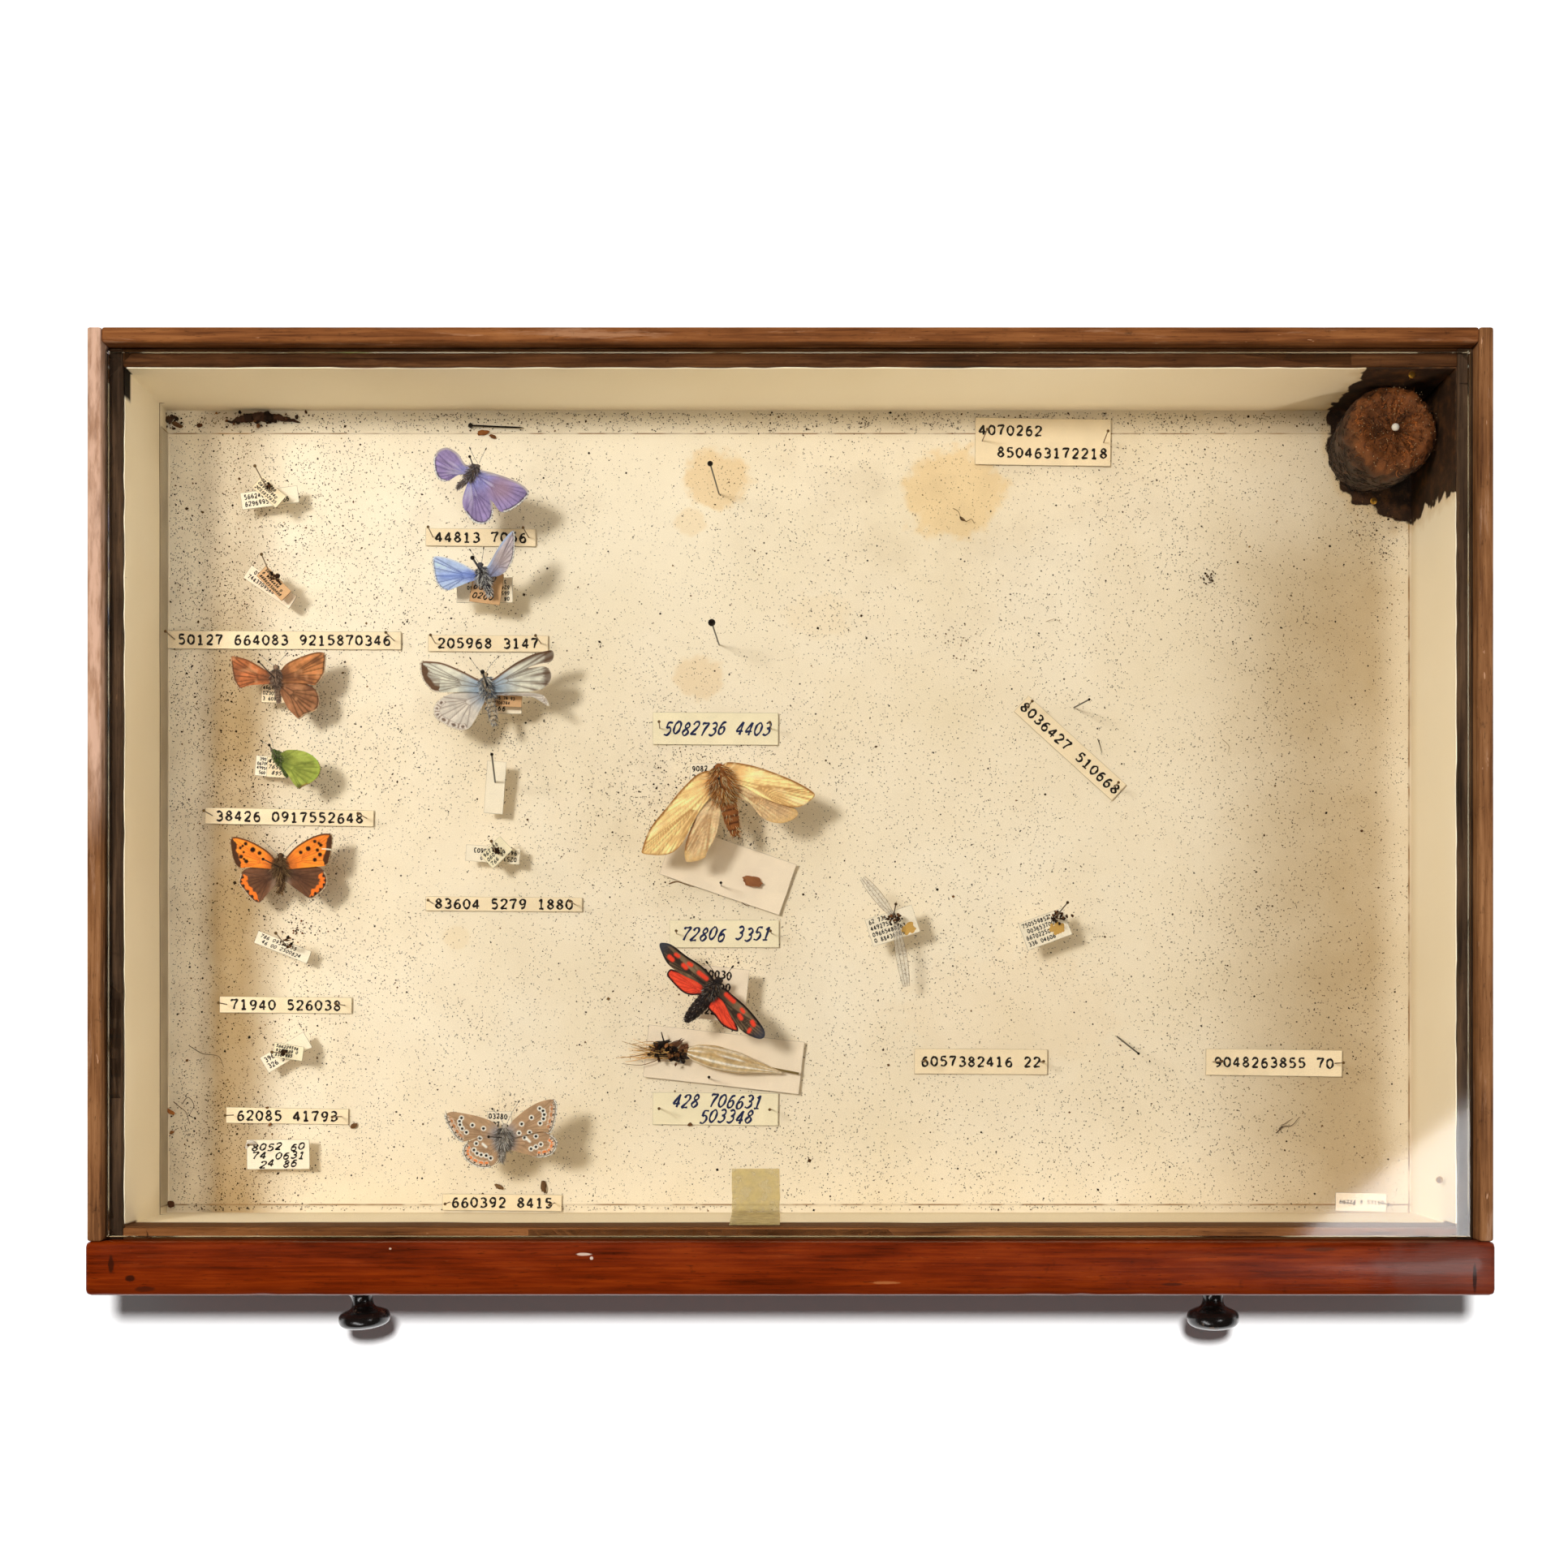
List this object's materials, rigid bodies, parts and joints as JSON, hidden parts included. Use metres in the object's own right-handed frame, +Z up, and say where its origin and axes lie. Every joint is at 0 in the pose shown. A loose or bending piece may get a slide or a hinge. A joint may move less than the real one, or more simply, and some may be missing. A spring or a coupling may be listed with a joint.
{
  "type": "insect collection drawer",
  "caption": "Glazed wooden drawer with pinned butterflies, moths, a cocoon, labels and cards on a paper-lined cork floor, and two black knobs.",
  "frame": {"origin": "middle of the footprint, knobs included, on the surface that the drawer rests on", "axes": "+X to the right along the long side, +Y to the back, +Z up out of the glass; the knobs are at -Y"},
  "size_m": [0.3566, 0.2572, 0.056],
  "materials": {
    "polished_wood": "polished red mahogany",
    "brown_wood": "worn brown stain",
    "dark_wood": "dark stain",
    "cork": "raw cork",
    "lining_paper": "aged cream paper",
    "label_card": "matt card",
    "white_card": "matt card",
    "pane": "clear",
    "ebonised": "black gloss, worn",
    "pin_steel": "dark lacquered",
    "insect": "scales and fur",
    "fibre": "coarse stained fibre",
    "tape_film": "yellowed translucent film"
  },
  "bodies": {
    "root": {"front_board": "polished_wood", "back_board": "brown_wood", "side_board_left": "brown_wood", "side_board_right": "brown_wood", "bottom_board": "brown_wood", "fillet_back": "brown_wood", "fillet_front": "brown_wood", "fillet_left": "dark_wood", "fillet_right": "dark_wood", "cork_bed": "cork", "floor_paper": "lining_paper", "wall_paper": "lining_paper", "glass_pane": "pane", "knob_left": "ebonised", "knob_right": "ebonised", "tape": "tape_film", "preservative_pad": "fibre", "name_label_01": "label_card", "name_label_02": "label_card", "name_label_03": "label_card", "name_label_04": "label_card", "name_label_05": "label_card", "name_label_06": "label_card", "name_label_07": "label_card", "name_label_08": "label_card", "name_label_09": "label_card", "name_label_10": "label_card", "name_label_11": "label_card", "name_label_12": "label_card", "name_label_13": "label_card", "name_label_14": "label_card", "name_label_15": "label_card", "name_label_16": "label_card", "name_label_17": "white_card", "data_label_pin_1": "white_card", "data_label_pin_2": "white_card", "data_label_pin_3": "white_card", "data_label_pin_4": "white_card", "data_label_pin_5": "white_card", "data_label_pin_6": "white_card", "moth_card": "white_card", "cocoon_card": "white_card", "lone_pin_1": "pin_steel", "lone_pin_2": "pin_steel", "lone_pin_3": "pin_steel", "lone_pin_4": "pin_steel", "lying_pin": "pin_steel", "holly_blue": "insect", "adonis_blue": "insect", "chalk_hill_blue": "insect", "green_hairstreak": "insect", "green_hairstreak_closed": "insect", "small_copper": "insect", "common_blue": "insect", "swift_moth": "insect", "burnet_moth": "insect", "burnet_cocoon": "insect", "damselfly_remains_1": "insect", "damselfly_remains_2": "insect"}
  },
  "joints": []
}
